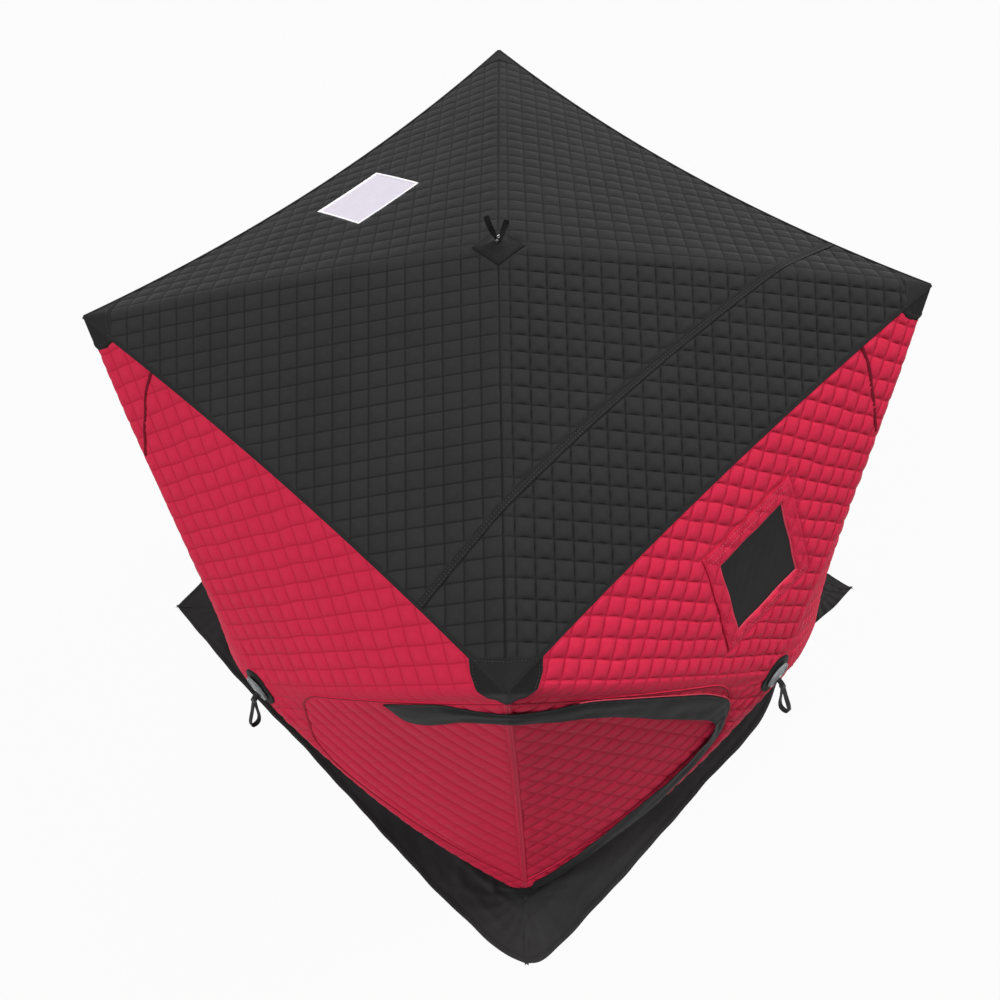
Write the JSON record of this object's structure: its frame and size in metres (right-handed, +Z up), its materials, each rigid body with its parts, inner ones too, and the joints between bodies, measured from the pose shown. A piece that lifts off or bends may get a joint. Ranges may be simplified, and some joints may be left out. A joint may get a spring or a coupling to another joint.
{
  "type": "pop-up ice fishing hut",
  "caption": "Square pop-up ice fishing shelter: quilted red cloth walls and black roof held out by hubs and bowed rods, with a zipped corner door and a ground skirt.",
  "frame": {"origin": "centre of the square base, on the ground", "axes": "+Z up, front wall faces -Y, right wall faces +X, the door wraps round the corner between them"},
  "size_m": [2.5522, 2.5522, 2.1632],
  "materials": {
    "red_quilted_cloth": "matte quilted weave",
    "black_quilted_cloth": "matte quilted weave",
    "black_trim_cloth": "matte plain weave",
    "webbing": "ribbed webbing",
    "clear_film": "glossy film",
    "dark_film": "satin",
    "rod": "satin",
    "hub_plastic": "satin"
  },
  "bodies": {
    "root": {"roof_canopy": "black_quilted_cloth", "roof_window": "clear_film", "roof_seam": "black_trim_cloth", "eave_piping": "black_trim_cloth", "front_wall": "red_quilted_cloth", "right_wall": "red_quilted_cloth", "back_wall": "red_quilted_cloth", "left_wall": "red_quilted_cloth", "corner_door": "red_quilted_cloth", "door_flap": "black_trim_cloth", "wall_window": "dark_film", "wall_window_frame": "red_quilted_cloth", "front_left_eave_patch": "black_trim_cloth", "front_right_eave_patch": "black_trim_cloth", "back_right_eave_patch": "black_trim_cloth", "back_left_eave_patch": "black_trim_cloth", "front_left_base_patch": "black_trim_cloth", "front_right_base_patch": "black_trim_cloth", "back_right_base_patch": "black_trim_cloth", "back_left_base_patch": "black_trim_cloth", "roof_patch": "black_trim_cloth", "roof_poles": "rod", "roof_hub": "hub_plastic", "roof_strap": "webbing", "front_poles": "rod", "right_poles": "rod", "back_poles": "rod", "left_poles": "rod", "front_hub": "hub_plastic", "right_hub": "hub_plastic", "back_hub": "hub_plastic", "left_hub": "hub_plastic", "front_hub_patch": "black_trim_cloth", "right_hub_patch": "black_trim_cloth", "back_hub_patch": "black_trim_cloth", "left_hub_patch": "black_trim_cloth", "front_pull_loop": "webbing", "right_pull_loop": "webbing", "back_pull_loop": "webbing", "left_pull_loop": "webbing", "front_skirt": "black_trim_cloth", "right_skirt": "black_trim_cloth", "back_skirt": "black_trim_cloth", "left_skirt": "black_trim_cloth"}
  },
  "joints": []
}
